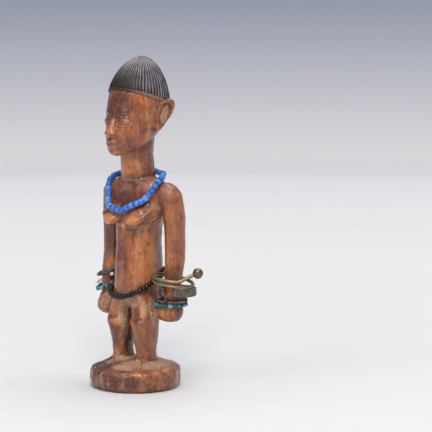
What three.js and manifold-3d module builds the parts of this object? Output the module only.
// Carved twin figure with its strings and bracelets. Millimetres, +Z up, the figure faces -Y and its left
// side is +X. The origin is the middle of the flat underside of the base.
import * as THREE from 'three';
import { LoftGeometry } from 'three/addons/geometries/LoftGeometry.js';
import { mergeVertices } from 'three/addons/utils/BufferGeometryUtils.js';
import Module from 'manifold-3d';

// Base
const BASE_DIAMETER = 74;
const BASE_HEIGHT = 15;
const RIM_CHIP_LENGTH = 15;
const RIM_CHIP_DEPTH = 3.4;
const RIM_CHIP_HEIGHT = 4.4;
// Figure above the base
const FIGURE_HEIGHT = 250;
// Hair
const HAIR_RIDGES = 56;
const HAIR_RIDGE_DEPTH = 0.9;
// Necklace
const NECKLACE_BEAD_DIAMETER = 4.8;
const NECKLACE_BEADS = 38;
// String of discs round the hips
const WAIST_DISC_DIAMETER = 4.4;
const WAIST_DISCS = 46;
const WAIST_THREAD_DIAMETER = 2.8;
// Left wrist, from the hand up: each ring is wider than the wrist by its slack, and lies above the last one
// by its rise
const WRIST_WIDTH = 13.6;
const LEFT_TURQUOISE_BEAD_DIAMETER = 3.6;
const LEFT_TURQUOISE_SLACK = 1.5;
const BROWN_BEAD_DIAMETER = 3;
const BROWN_BEAD_SLACK = 3.6;
const BROWN_BEAD_RISE = 0.4;
const CUFF_HEIGHT = 6.6;
const CUFF_WALL = 1.8;
const CUFF_SLACK = 12.4;
const CUFF_OPENING = 9.4;
const CUFF_RISE = 2.6;
const COIL_WIRE_DIAMETER = 2.8;
const COIL_SLACK = 15.2;
const COIL_RISE = 1.7;
const COIL_TURN_GAP = 0.8;
const COIL_BALL_DIAMETER = 8.4;
// Right wrist, from the hand up
const RIGHT_TURQUOISE_BEAD_DIAMETER = 3.8;
const RIGHT_TURQUOISE_SLACK = 1.6;
const CLEAR_BEAD_DIAMETER = 3.2;
const CLEAR_BEADS = 4;
const CLEAR_THREAD_DIAMETER = 1;
const CLEAR_BEAD_SLACK = 1.3;
const CLEAR_BEAD_RISE = 2.8;
const DARK_WIRE_DIAMETER = 2.6;
const DARK_RING_SLACK = 5.2;
const DARK_RING_RISE = 1.65;
// Space kept between neighbouring pieces
const CLEARANCE = 0.35;

// The carving is laid out on a height of 250 units, and grows with its height
const HEIGHT_UNITS = 250;
const UNIT = FIGURE_HEIGHT / HEIGHT_UNITS;
const wasm = await Module();
wasm.setup();

// A point of the carving: x and y in units from the axis, z in units above the top of the base
const spot = (x, y, z) => new THREE.Vector3(x * UNIT, y * UNIT, BASE_HEIGHT + z * UNIT);

function solid(geometry, mirrored = false) {
  const bare = new THREE.BufferGeometry();
  bare.setAttribute('position', geometry.attributes.position);
  if (geometry.index) bare.setIndex(geometry.index);
  const merged = mergeVertices(bare, 1e-4);
  const index = merged.index.array;
  const kept = [];
  for (let i = 0; i < index.length; i += 3) {
    const [a, b, c] = [index[i], index[i + 1], index[i + 2]];
    if (a !== b && b !== c && c !== a) kept.push(...(mirrored ? [b, a, c] : [a, b, c]));
  }
  return new wasm.Manifold(new wasm.Mesh({
    numProp: 3,
    vertProperties: Float32Array.from(merged.attributes.position.array),
    triVerts: Uint32Array.from(kept),
  }));
}

function geometryOf(manifold) {
  const mesh = manifold.getMesh();
  const geometry = new THREE.BufferGeometry();
  geometry.setAttribute('position', new THREE.Float32BufferAttribute(mesh.vertProperties, 3));
  geometry.setIndex(Array.from(mesh.triVerts));
  geometry.computeVertexNormals();
  return geometry;
}

// A flat, rounded outline round a centre: half widths a and b, squareness n, wider at the back by taper,
// and its back higher than its front by slope
function outline({ x = 0, y = 0, z, a, b, n = 2, slope = 0, taper = 0 }, sides, side = 1) {
  const points = [];
  for (let i = 0; i < sides; i++) {
    const angle = (i + 0.5) / sides * Math.PI * 2;
    const c = Math.cos(angle);
    const s = Math.sin(angle);
    const across = Math.sign(c) * Math.abs(c) ** (2 / n);
    const along = Math.sign(s) * Math.abs(s) ** (2 / n);
    const dx = a * across * (1 + taper * along);
    const dy = b * along;
    points.push(spot(side * (x + dx), y + dy, z + slope * dy));
  }
  return side < 0 ? points.reverse() : points;
}

function stack(stations, sides, side = 1) {
  const rows = stations.map((station) => outline(station, sides, side));
  return solid(new LoftGeometry(rows, { capStart: true, capEnd: true }));
}

// A round body along a line of points, with a radius at each, flattened by flat across the line
function along(points, radii, sides, flat = 1, closed = false) {
  const count = points.length;
  const rows = points.map((point, i) => {
    const before = points[closed ? (i + count - 1) % count : Math.max(i - 1, 0)];
    const after = points[closed ? (i + 1) % count : Math.min(i + 1, count - 1)];
    const way = after.clone().sub(before).normalize();
    const up = Math.abs(way.z) > 0.9 ? new THREE.Vector3(0, -1, 0) : new THREE.Vector3(0, 0, 1);
    const across = new THREE.Vector3().crossVectors(up, way).normalize();
    const rise = new THREE.Vector3().crossVectors(way, across);
    const ring = [];
    for (let j = 0; j < sides; j++) {
      const angle = (j + 0.5) / sides * Math.PI * 2;
      ring.push(point.clone()
        .addScaledVector(across, radii[i] * Math.cos(angle))
        .addScaledVector(rise, radii[i] * flat * Math.sin(angle)));
    }
    return ring;
  });
  if (closed) rows.push(rows[0].map((p) => p.clone()));
  return new LoftGeometry(rows, { capStart: !closed, capEnd: !closed });
}

// Base
function base() {
  const radius = BASE_DIAMETER / 2;
  // shares of the radius and of the height
  const profile = [[0.955, 0], [1, 0.45], [0.995, 0.87], [0.95, 1.01], [0.86, 1.08], [0.64, 1.27],
    [0.4, 1.5]];
  const sides = 28;
  const rows = profile.map(([share, level]) => {
    const ring = [];
    for (let i = 0; i < sides; i++) {
      const angle = i / sides * Math.PI * 2;
      const worn = 1 + 0.012 * Math.cos(2 * angle + 0.7) + 0.008 * Math.cos(3 * angle + 2);
      const reach = radius * share * worn;
      const tilt = level > 0.5 ? 1 + 0.07 * Math.cos(angle - 0.6) + 0.02 * Math.sin(5 * angle) : 1;
      const height = BASE_HEIGHT * level * tilt;
      ring.push(new THREE.Vector3(reach * Math.cos(angle), reach * Math.sin(angle), height));
    }
    return ring;
  });
  const body = solid(new LoftGeometry(rows, { capStart: true, capEnd: true }));
  // a split piece is gone from the rim before the right foot
  const chip = new THREE.BoxGeometry(RIM_CHIP_LENGTH, RIM_CHIP_DEPTH, RIM_CHIP_HEIGHT);
  chip.rotateX(0.5);
  chip.rotateZ(-0.42);
  chip.translate(-radius * 0.36, -radius * 0.80, BASE_HEIGHT * 1.06);
  return body.subtract(solid(chip));
}

function leg(side) {
  const shank = stack([
    { x: 12.6, y: 1.5, z: -3, a: 9.6, b: 11 },
    { x: 12.6, y: 0.3, z: 7, a: 8.4, b: 9.8 },
    { x: 12.8, y: -0.7, z: 15, a: 7.7, b: 9.4 },
    { x: 12.9, y: -0.9, z: 22, a: 8.4, b: 10.2, n: 2.1 },
    { x: 12.9, y: -1.6, z: 32, a: 9.8, b: 11.2, n: 2.2 },
    { x: 13.0, y: -2.4, z: 38, a: 10.5, b: 12.2, n: 2.3 },
    { x: 12.9, y: -1.2, z: 43, a: 10.6, b: 11.4, n: 2.3 },
    { x: 12, y: -0.2, z: 49, a: 9.8, b: 12.4, n: 2.2 },
    { x: 10.8, y: 1.2, z: 56, a: 9.6, b: 14.2, n: 2.2 },
    { x: 9.4, y: 2.6, z: 64, a: 8.8, b: 14.6, n: 2.2 },
  ], 12, side);
  const splay = 0.21;
  const way = new THREE.Vector3(side * Math.sin(splay), -Math.cos(splay), 0);
  const row = new THREE.Vector3(side * Math.cos(splay), Math.sin(splay), 0);
  const step = (forward, high, sideways) => spot(side * 12.4, 0, high)
    .addScaledVector(way, forward * UNIT).addScaledVector(row, sideways * UNIT);
  const sole = [[-8, 1, 7.4, 6], [0, 3.4, 8.6, 9], [8, 3, 9, 7.4], [14, 2, 9.4, 5.6], [18.4, 1.2, 9.2, 4.4],
    [20.6, 0, 8, 2]];
  const rows = sole.map(([forward, high, half, rise]) => {
    const ring = [];
    for (let i = 0; i < 8; i++) {
      const angle = (i + 0.5) / 8 * Math.PI * 2;
      ring.push(step(forward, high + rise * Math.sin(angle) * 0.9, half * Math.cos(angle)));
    }
    return side < 0 ? ring.reverse() : ring;
  });
  let foot = solid(new LoftGeometry(rows, { capStart: true, capEnd: true }));
  // grooves that part the toes
  for (const sideways of [-5, -1.6, 1.6, 4.6]) {
    const groove = new THREE.CylinderGeometry(0.9 * UNIT, 0.9 * UNIT, 8 * UNIT, 3);
    groove.rotateX(-0.12);
    groove.rotateZ(side * splay);
    const place = step(18.6, 4.9, sideways);
    groove.translate(place.x, place.y, place.z);
    foot = foot.subtract(solid(groove));
  }
  return shank.add(foot);
}

function torso() {
  const trunk = stack([
    { y: 2, z: 50, a: 12, b: 10.5 },
    { y: 2.2, z: 54.5, a: 16.6, b: 14.8, n: 2.2 },
    { y: 2.6, z: 59, a: 18.6, b: 17.8, n: 2.3 },
    { y: 4, z: 66, a: 18.4, b: 19.6, n: 2.3 },
    { y: 4.8, z: 75, a: 17.9, b: 20.1, n: 2.2 },
    { y: 4.9, z: 86, a: 17, b: 20.1, n: 2.2 },
    { y: 5.1, z: 101, a: 16.7, b: 18.9, n: 2.2 },
    { y: 5.2, z: 112, a: 18, b: 18.2, n: 2.2 },
    { y: 5.2, z: 117, a: 20, b: 18.2, n: 2.2 },
    { y: 5.4, z: 125, a: 24, b: 17.5, n: 2.3 },
    { y: 5.8, z: 137, a: 28.6, b: 16.2, n: 2.3 },
    { y: 6, z: 145, a: 29.6, b: 14.8, n: 2.2 },
    { y: 5.6, z: 150, a: 26, b: 13.4, n: 2.1 },
    { y: 5, z: 153.5, a: 18, b: 12.4, n: 2 },
  ], 18);
  const neck = stack([
    { y: 4.6, z: 144, a: 15, b: 15 },
    { y: 4.3, z: 152.5, a: 14.2, b: 14 },
    { y: 3.6, z: 162, a: 13.6, b: 13.6 },
    { y: 2.8, z: 172, a: 13.4, b: 13.6 },
    { y: 3.2, z: 184, a: 13.6, b: 14.6 },
    { y: 4, z: 194, a: 14, b: 15.6 },
  ], 14);
  // navel
  const navel = new THREE.SphereGeometry(2.7 * UNIT, 8, 5);
  const place = spot(0, -15.2, 85.5);
  navel.translate(place.x, place.y, place.z);
  return [buttock(1), buttock(-1), solid(navel), neck].reduce((whole, piece) => whole.add(piece), trunk);
}

function buttock(side) {
  const round = new THREE.SphereGeometry(1, 10, 6);
  round.scale(9.8 * UNIT, 11.6 * UNIT, 12.4 * UNIT);
  round.rotateX(-0.22);
  const place = spot(side * 8.9, 14.2, 60.6);
  round.translate(place.x, place.y, place.z);
  return solid(round);
}

// A breast: a cone forward to the nipple, and a fold of it back to the armpit
function breast(side) {
  const forward = [[12.4, -1, 127.6], [12.8, -8, 126], [13, -13.2, 124], [13, -17, 122.6],
    [13, -19.8, 121.8]];
  const outward = [[21.8, 1, 128.6], [20.6, -5, 126.4], [18.2, -11.2, 124], [14.6, -16.8, 122.2]];
  const form = (points, radii, sides, flat) => solid(along(points.map(([x, y, z]) => spot(side * x, y, z)),
    radii.map((r) => r * UNIT), sides, flat));
  return form(forward, [13, 12, 9.4, 6, 2.6], 12, 0.8).add(form(outward, [4.4, 5.6, 6.2, 4.6], 8, 1.1));
}

function arm(side) {
  const wrist = WRIST_WIDTH / 2 / UNIT;
  const limb = stack([
    { x: 33.6, y: 5.4, z: 40.2, a: 4.8, b: 5.2 },
    { x: 33.4, y: 5.4, z: 41.8, a: 8, b: 8.2, n: 2.2 },
    { x: 33.2, y: 5.4, z: 45.2, a: 10.2, b: 10.4, n: 2.4 },
    { x: 33, y: 5.8, z: 50, a: 10.4, b: 10.6, n: 2.5 },
    { x: 33.4, y: 5.8, z: 54.4, a: 8.8, b: 9, n: 2.3 },
    { x: 34.4, y: 5.8, z: 58, a: wrist * 1.03, b: wrist * 1.03 },
    { x: 34.9, y: 5.8, z: 64, a: wrist, b: wrist },
    { x: 35, y: 6.8, z: 70, a: wrist * 1.015, b: wrist * 1.06 },
    { x: 34.7, y: 8.6, z: 79, a: wrist * 1.12, b: wrist * 1.15 },
    { x: 34.2, y: 10.6, z: 90, a: wrist * 1.25, b: wrist * 1.265 },
    { x: 34, y: 11, z: 105, a: 8.5, b: 8.7 },
    { x: 33.8, y: 10.6, z: 120, a: 8.8, b: 9 },
    { x: 33.2, y: 10, z: 132, a: 9, b: 9.4 },
    { x: 31.6, y: 8.8, z: 141, a: 8.8, b: 9.6 },
    { x: 29, y: 7.4, z: 147, a: 7.4, b: 8.4 },
    { x: 26.6, y: 6.4, z: 150.4, a: 4.4, b: 5.4 },
  ], 10, side);
  const thumb = [[31.6, -0.6, 52.6], [30, -3, 50], [30, -3.6, 46], [31.4, -2.2, 43]];
  return limb.add(solid(along(thumb.map(([x, y, z]) => spot(side * x, y, z)),
    [1.8, 2.4, 2.4, 1.4].map((r) => r * UNIT), 6)));
}

// Head: outlines lean back below the mouth and forward at the hairline
const HEAD = [
  { y: -8, z: 177, a: 8.6, b: 12.4, slope: 0.42 },
  { y: -6.4, z: 179.6, a: 14, b: 17.6, slope: 0.36, n: 2.1, taper: 0.06 },
  { y: -4, z: 184.4, a: 17.2, b: 22, slope: 0.22, n: 2.1, taper: 0.1 },
  { y: -1.8, z: 191, a: 19, b: 24.3, slope: 0.08, n: 2.15, taper: 0.1 },
  { y: 0.8, z: 199, a: 20.2, b: 24.6, slope: -0.06, n: 2.2, taper: 0.08 },
  { y: 2.4, z: 205, a: 21, b: 25.6, slope: -0.14, n: 2.25, taper: 0.05 },
  { y: 4.6, z: 211.4, a: 21.8, b: 25.4, slope: -0.26, n: 2.15, taper: 0.03 },
  { y: 5.8, z: 216.2, a: 22, b: 25.2, slope: -0.33, n: 2.05 },
  { y: 6.2, z: 221, a: 19.4, b: 22.4, slope: -0.33, n: 2 },
];

function hair() {
  const columns = HAIR_RIDGES * 2;
  // share of the height against share of the width, from the hairline to the crown
  const levels = [0, 0.34, 0.64, 0.86, 0.975];
  const bulge = 1.64;
  const height = 35;
  const rows = levels.map((level) => {
    const width = (1 - level ** bulge) ** (1 / bulge);
    const ring = [];
    for (let i = 0; i < columns; i++) {
      const angle = i / columns * Math.PI * 2;
      const ridge = (i % 2 ? 0 : 1) * HAIR_RIDGE_DEPTH / UNIT * (0.35 + 0.65 * width);
      const a = 22.3 * width + ridge;
      const b = 25.5 * width + ridge;
      const dy = b * Math.sin(angle);
      const y = 5.8 + 2.8 * level + dy;
      ring.push(spot(a * Math.cos(angle), y, 215.6 + height * level - 0.33 * (1 - level) * dy));
    }
    return ring;
  });
  return solid(new LoftGeometry(rows, { capStart: true, capEnd: true }));
}

function ear(side) {
  const leaf = [[0, -13.4], [3.2, -11.4], [6.2, -7], [10, -1], [12.4, 5], [12, 9.4], [9, 12.4], [4.6, 12.4],
    [0.6, 9.6], [-1, 3], [-1.6, -5], [-1.4, -10.6]];
  const cup = [[1.6, -7.4], [4.6, -4], [8, 1.4], [9.6, 6], [8, 9.2], [4.6, 9.4], [2.2, 5], [1.2, -1]];
  const plate = (points, depth) => new THREE.ExtrudeGeometry(
    new THREE.Shape(points.map(([u, v]) => new THREE.Vector2(u * UNIT, v * UNIT))),
    { depth: depth * UNIT, steps: 1, bevelEnabled: false });
  const back = new THREE.Vector3(side * 0.5, 0.866, 0);
  const up = new THREE.Vector3(0, 0.14, 1).normalize();
  const face = new THREE.Vector3().crossVectors(back, up).normalize().multiplyScalar(side);
  const place = (geometry, lift) => {
    const origin = spot(side * 21.2, 5.8, 204.4).addScaledVector(face, lift * UNIT);
    geometry.applyMatrix4(new THREE.Matrix4().makeBasis(back, up, face).setPosition(origin));
    return solid(geometry, side < 0);
  };
  return place(plate(leaf, 3.6), -1.8).subtract(place(plate(cup, 3), 0.2));
}

function head() {
  let body = stack(HEAD, 28);
  const nose = stack([
    { y: -21, z: 205.4, a: 2.6, b: 3 },
    { y: -23.4, z: 199, a: 3, b: 3.6 },
    { y: -25.6, z: 193, a: 4.4, b: 4.6 },
    { y: -26.4, z: 189.8, a: 6.4, b: 5 },
    { y: -25.8, z: 187.8, a: 5, b: 3.2 },
  ].reverse(), 10);
  body = body.add(nose);
  for (const side of [1, -1]) {
    const eye = new THREE.SphereGeometry(1, 8, 6);
    eye.scale(5.4 * UNIT, 3 * UNIT, 3 * UNIT);
    eye.rotateZ(side * 0.36);
    const place = spot(side * 8.8, -20.1, 199.6);
    eye.translate(place.x, place.y, place.z);
    body = body.add(solid(eye)).add(ear(side));
  }
  // lips
  for (const [y, z, rise] of [[-25.2, 183.6, 2], [-24.4, 180, 2.1]]) {
    const line = [-8, -4.6, 0, 4.6, 8].map((x) => spot(x, y + x * x * 0.045, z - x * x * 0.006));
    body = body.add(solid(along(line, [0.7, rise, rise * 1.15, rise, 0.7].map((r) => r * UNIT), 8, 0.85)));
  }
  return body.add(hair());
}

const figure = [leg(1), leg(-1), torso(), breast(1), breast(-1), arm(1), arm(-1), head()]
  .reduce((whole, piece) => whole.add(piece), base());
const figureGeometry = geometryOf(figure);

// Room between a point and the carving, from its triangles
const triangles = [];
{
  const p = figureGeometry.attributes.position;
  const index = figureGeometry.index.array;
  for (let i = 0; i < index.length; i += 3) {
    const corners = [0, 1, 2].map((k) => new THREE.Vector3().fromBufferAttribute(p, index[i + k]));
    const triangle = new THREE.Triangle(...corners);
    const middle = triangle.getMidpoint(new THREE.Vector3());
    triangles.push({ triangle, middle, reach: Math.max(...corners.map((c) => c.distanceTo(middle))) });
  }
}

function room(point) {
  const nearest = new THREE.Vector3();
  let best = Infinity;
  for (const { triangle, middle, reach } of triangles) {
    if (point.distanceTo(middle) - reach > best) continue;
    triangle.closestPointToPoint(point, nearest);
    best = Math.min(best, point.distanceTo(nearest));
  }
  return best;
}

// A string drawn in from outside: the point on the way from start + way * reach to start where something
// of the given radius first lies on the carving, or start itself
function drawnIn(start, way, reach, radius) {
  let travel = reach;
  while (travel > 0) {
    const free = room(start.clone().addScaledVector(way, travel)) - radius - CLEARANCE;
    if (free < 0.02) break;
    travel -= free;
  }
  return start.clone().addScaledVector(way, Math.max(travel, 0));
}

const loop = (points) => new THREE.CatmullRomCurve3(points, true);
const evenly = (points, count) => loop(points).getSpacedPoints(count).slice(0, count);

// Blue glass beads: the loop lies on the nape and the shoulders and hangs on to the chest, pulled a little
// to the figure's left
function necklaceLine() {
  const radius = NECKLACE_BEAD_DIAMETER / 2;
  // straight beads cut the corner of a round shoulder by this much
  const bow = 0.25;
  const line = [];
  for (let i = 0; i < 48; i++) {
    const turn = i / 48 * Math.PI * 2;
    const front = Math.cos(turn);
    const ahead = Math.max(0, front);
    const rise = Math.min(19.6 * (1 - front), 28.6);
    const hang = spot(22.2 * Math.sin(turn) + 2.8 * (1 - ahead), 1 - 18 * front, 128 + rise);
    const spread = 0.3 + 0.22 * ahead;
    const way = new THREE.Vector3(spread * Math.sin(turn), -0.7 * front, 0.8 - 0.45 * ahead).normalize();
    line.push(drawnIn(hang, way, 14 * UNIT, radius + bow));
  }
  return evenly(line, NECKLACE_BEADS);
}

function necklaceBead(line, i) {
  const at = (k) => line[(k + NECKLACE_BEADS) % NECKLACE_BEADS];
  const [before, start, end, after] = [at(i - 1), at(i), at(i + 1), at(i + 2)];
  const way = end.clone().sub(start).normalize();
  const setBack = (turn) => CLEARANCE / 2 + NECKLACE_BEAD_DIAMETER / 2 * Math.tan(turn / 2);
  const first = setBack(way.angleTo(start.clone().sub(before)));
  const last = setBack(way.angleTo(after.clone().sub(end)));
  const length = start.distanceTo(end) - first - last;
  const ends = [first, first + length].map((reach) => start.clone().addScaledVector(way, reach));
  const radius = NECKLACE_BEAD_DIAMETER / 2;
  return geometryOf(solid(along(ends, [radius, radius], 8)));
}

// Beads too small to part: one string that swells at its beads
function beadString(line, bead, thread, sides) {
  const rows = [];
  line.forEach((point, i) => {
    const next = line[(i + 1) % line.length];
    rows.push([point, bead / 2], [point.clone().lerp(next, 0.5), thread / 2]);
  });
  return geometryOf(solid(along(rows.map(([p]) => p), rows.map(([, r]) => r), sides, 1, true)));
}

// Black discs round the hips, higher at the back
function waistString() {
  const line = [];
  for (let i = 0; i < 40; i++) {
    const turn = i / 40 * Math.PI * 2;
    const way = new THREE.Vector3(Math.sin(turn), -Math.cos(turn), 0);
    const reach = 1 / Math.hypot(Math.sin(turn) / 24.4, Math.cos(turn) / 28);
    const height = 71.5 + 2 * way.x + (way.y < 0 ? 12.4 : 6) * way.y;
    line.push(drawnIn(spot(0, 3, height), way, reach * UNIT, WAIST_DISC_DIAMETER / 2));
  }
  return beadString(evenly(line, WAIST_DISCS), WAIST_DISC_DIAMETER, WAIST_THREAD_DIAMETER, 5);
}

const skin = new THREE.Mesh(figureGeometry, new THREE.MeshBasicMaterial({ side: THREE.DoubleSide }));

// Places at the wrists, in units: the middle of each ring, and how its ring rises across and along the figure
const above = (place, height, changes) => ({ ...place, z: place.z + height / UNIT, ...changes });
const LEFT_TURQUOISE_PLACE = { x: 33.6, y: 5.8, z: 54 };
const BROWN_PLACE = above(LEFT_TURQUOISE_PLACE,
  (LEFT_TURQUOISE_BEAD_DIAMETER + BROWN_BEAD_DIAMETER) / 2 + BROWN_BEAD_RISE, { x: 34.4 });
const CUFF_PLACE = above(BROWN_PLACE,
  (BROWN_BEAD_DIAMETER + CUFF_HEIGHT) / 2 + CUFF_RISE, { x: 34.9, y: 6 });
const COIL_PLACE = above(CUFF_PLACE,
  (CUFF_HEIGHT + COIL_WIRE_DIAMETER) / 2 + COIL_RISE, { across: -0.181, forth: -0.055 });
const RIGHT_TURQUOISE_PLACE = { x: 35, y: 6, z: 65.7, across: -0.35, forth: 0.45 };
const CLEAR_PLACE = above(RIGHT_TURQUOISE_PLACE,
  (RIGHT_TURQUOISE_BEAD_DIAMETER + CLEAR_BEAD_DIAMETER) / 2 + CLEAR_BEAD_RISE,
  { x: 34.9, y: 7.4, across: -0.47, forth: 0.4 });
const DARK_RING_PLACE = above(CLEAR_PLACE,
  (CLEAR_BEAD_DIAMETER + DARK_WIRE_DIAMETER) / 2 + DARK_RING_RISE, { y: 8, across: -0.37, forth: 0.35 });

// The middle of a ring at a wrist, and its way out at one turn
function wristSpoke({ x, y, z, across = 0, forth = 0 }, turn, side) {
  const way = new THREE.Vector3(side * Math.cos(turn), Math.sin(turn), 0);
  way.z = across * Math.cos(turn) + forth * way.y;
  return { middle: spot(side * x, y, z), way };
}

// The line of a string laid snugly on the wrist, or looser on its outer side by loose
function wristLine(place, bead, side, loose) {
  const line = [];
  for (let i = 0; i < 24; i++) {
    const turn = i / 24 * Math.PI * 2 * side;
    const { middle, way } = wristSpoke(place, turn, side);
    const wrist = new THREE.Raycaster(middle, way.clone().normalize()).intersectObject(skin)[0].distance;
    const point = drawnIn(middle, way.normalize(), wrist + 0.7 * bead + CLEARANCE, bead / 2);
    line.push(point.addScaledVector(way, loose * (0.5 + 0.5 * Math.cos(turn - side * 0.73))));
  }
  return line;
}

// A wrist string of small beads end to end
const SWELL_SPACING = 1.8;
function wristString(place, bead, side, loose) {
  const line = wristLine(place, bead, side, loose);
  const swells = Math.round(loop(line).getLength() / (bead * SWELL_SPACING));
  return beadString(evenly(line, swells), bead, bead * 0.62, 4);
}

// Clear beads set apart on a thin thread
function clearString() {
  const curve = loop(wristLine(CLEAR_PLACE, CLEAR_BEAD_DIAMETER, -1, CLEAR_BEAD_SLACK));
  const length = curve.getLength();
  const bead = CLEAR_BEAD_DIAMETER / 2;
  const thread = CLEAR_THREAD_DIAMETER / 2;
  const gap = length / CLEAR_BEADS;
  // the first bead hangs below the outer side of the wrist
  const first = length * 0.146;
  const rows = [];
  for (let i = 0; i < CLEAR_BEADS; i++) {
    const middle = first + i * gap;
    const row = (reach, radius) => rows.push([curve.getPointAt((middle + reach) / length % 1), radius]);
    row(-bead, thread);
    row(-bead * 0.5, bead);
    row(bead * 0.5, bead);
    row(bead, thread);
    for (const share of [1 / 3, 2 / 3]) row(bead + share * (gap - 2 * bead), thread);
  }
  return geometryOf(solid(along(rows.map(([p]) => p), rows.map(([, r]) => r), 4, 1, true)));
}

// A stiff ring moved off the middle of the wrist until it lies against it
function hungBy(points, way, thickness, slack) {
  const halfway = points.slice(1).map((point, i) => point.clone().lerp(points[i], 0.5));
  const tried = [...points, ...halfway];
  let offset = slack / 2;
  const free = () => Math.min(...tried.map((p) => room(p.clone().addScaledVector(way, offset))));
  while (offset > 0 && free() < thickness / 2 + CLEARANCE) offset -= 0.1;
  return way.clone().multiplyScalar(offset);
}

function ringPoints(place, radius, count, side) {
  const points = [];
  for (let i = 0; i < count; i++) {
    const { middle, way } = wristSpoke(place, side * i / count * Math.PI * 2, side);
    points.push(middle.addScaledVector(way, radius));
  }
  return points;
}

// Brass wire wound round the left wrist, with a ball at its raised end
function brassCoil() {
  const radius = (WRIST_WIDTH + COIL_SLACK + COIL_WIRE_DIAMETER) / 2;
  const pitch = COIL_WIRE_DIAMETER + COIL_TURN_GAP;
  // turns at which the wire starts, and leaves the ring to rise to its ball
  const start = -2.4;
  const leave = 5.75;
  const coilPoint = (turn, share = 1, lift = 0) => {
    const { middle, way } = wristSpoke(COIL_PLACE, turn, 1);
    const point = middle.addScaledVector(way, radius * share);
    point.z += pitch * (turn - start) / (2 * Math.PI) + lift;
    return point;
  };
  const points = [];
  for (let turn = start; turn < leave - 0.1; turn += 0.45) points.push(coilPoint(turn));
  const rising = (run, lift) => coilPoint(leave + Math.atan(run), Math.hypot(1, run), lift);
  points.push(rising(0, 0.2), rising(0.25, 2.4), rising(0.5, 4.8), rising(0.73, 6.6), rising(0.89, 7.8));
  const ballPlace = rising(0.99, 8.5);
  const away = hungBy(points, new THREE.Vector3(0.8, -0.6, 0), COIL_WIRE_DIAMETER, COIL_SLACK);
  points.forEach((point) => point.add(away));
  ballPlace.add(away);
  const ball = new THREE.SphereGeometry(COIL_BALL_DIAMETER / 2, 8, 6);
  ball.translate(ballPlace.x, ballPlace.y, ballPlace.z);
  return geometryOf(solid(along(points, points.map(() => COIL_WIRE_DIAMETER / 2), 6)).add(solid(ball)));
}

// Grey metal cuff on the left wrist, with its opening to the front
function greyCuff() {
  const inner = (WRIST_WIDTH + CUFF_SLACK) / 2;
  const outer = inner + CUFF_WALL;
  const half = CUFF_HEIGHT / 2;
  const edge = CUFF_WALL * 0.3;
  const section = [[inner, half], [outer - edge, half], [outer, half - edge], [outer, edge - half],
    [outer - edge, -half], [inner, -half]];
  const ring = ringPoints(CUFF_PLACE, inner + CUFF_WALL / 2, 24, 1);
  const away = hungBy(ring, new THREE.Vector3(0.99, 0.14, 0), CUFF_WALL, CUFF_SLACK);
  const middle = spot(CUFF_PLACE.x, CUFF_PLACE.y, CUFF_PLACE.z).add(away);
  const opening = CUFF_OPENING / outer;
  const start = -1.39 + opening / 2;
  const steps = 20;
  const rows = [];
  for (let i = 0; i <= steps; i++) {
    const turn = start + i / steps * (2 * Math.PI - opening);
    const way = new THREE.Vector3(Math.cos(turn), Math.sin(turn), 0);
    rows.push(section.map(([r, z]) => middle.clone().addScaledVector(way, r).setZ(middle.z + z)));
  }
  return geometryOf(solid(new LoftGeometry(rows, { capStart: true, capEnd: true })));
}

// Dark ring on the right wrist
function darkRing() {
  const radius = (WRIST_WIDTH + DARK_RING_SLACK + DARK_WIRE_DIAMETER) / 2;
  const points = ringPoints(DARK_RING_PLACE, radius, 18, -1);
  const away = hungBy(points, new THREE.Vector3(-0.7, -0.7, 0), DARK_WIRE_DIAMETER, DARK_RING_SLACK);
  points.forEach((point) => point.add(away));
  return geometryOf(solid(along(points, points.map(() => DARK_WIRE_DIAMETER / 2), 5, 1, true)));
}

function colour(color, roughness, metalness = 0) {
  return new THREE.MeshStandardMaterial({ color, roughness, metalness });
}

const group = new THREE.Group();
function keep(name, geometry, material) {
  const mesh = new THREE.Mesh(geometry, material);
  mesh.name = name;
  group.add(mesh);
}
keep('figure', figureGeometry, colour(0x8a4a26, 0.5));
const necklace = necklaceLine();
for (let i = 0; i < NECKLACE_BEADS; i++) {
  keep(`necklace_bead_${String(i + 1).padStart(2, '0')}`, necklaceBead(necklace, i), colour(0x2f62c8, 0.3));
}
keep('waist_string', waistString(), colour(0x17130f, 0.4));
keep('left_wrist_turquoise_beads', wristString(LEFT_TURQUOISE_PLACE, LEFT_TURQUOISE_BEAD_DIAMETER, 1,
  LEFT_TURQUOISE_SLACK), colour(0x2fa7a2, 0.4));
keep('left_wrist_brown_beads', wristString(BROWN_PLACE, BROWN_BEAD_DIAMETER, 1, BROWN_BEAD_SLACK),
  colour(0x5a3a2c, 0.5));
keep('left_wrist_grey_cuff', greyCuff(), colour(0x6d7069, 0.45, 1));
keep('left_wrist_brass_coil', brassCoil(), colour(0x8f7a45, 0.4, 1));
keep('right_wrist_turquoise_beads', wristString(RIGHT_TURQUOISE_PLACE, RIGHT_TURQUOISE_BEAD_DIAMETER, -1,
  RIGHT_TURQUOISE_SLACK), colour(0x2fa7a2, 0.4));
keep('right_wrist_clear_beads', clearString(), colour(0xd9dcd6, 0.2));
keep('right_wrist_dark_ring', darkRing(), colour(0x2d302c, 0.4, 1));

export default group;
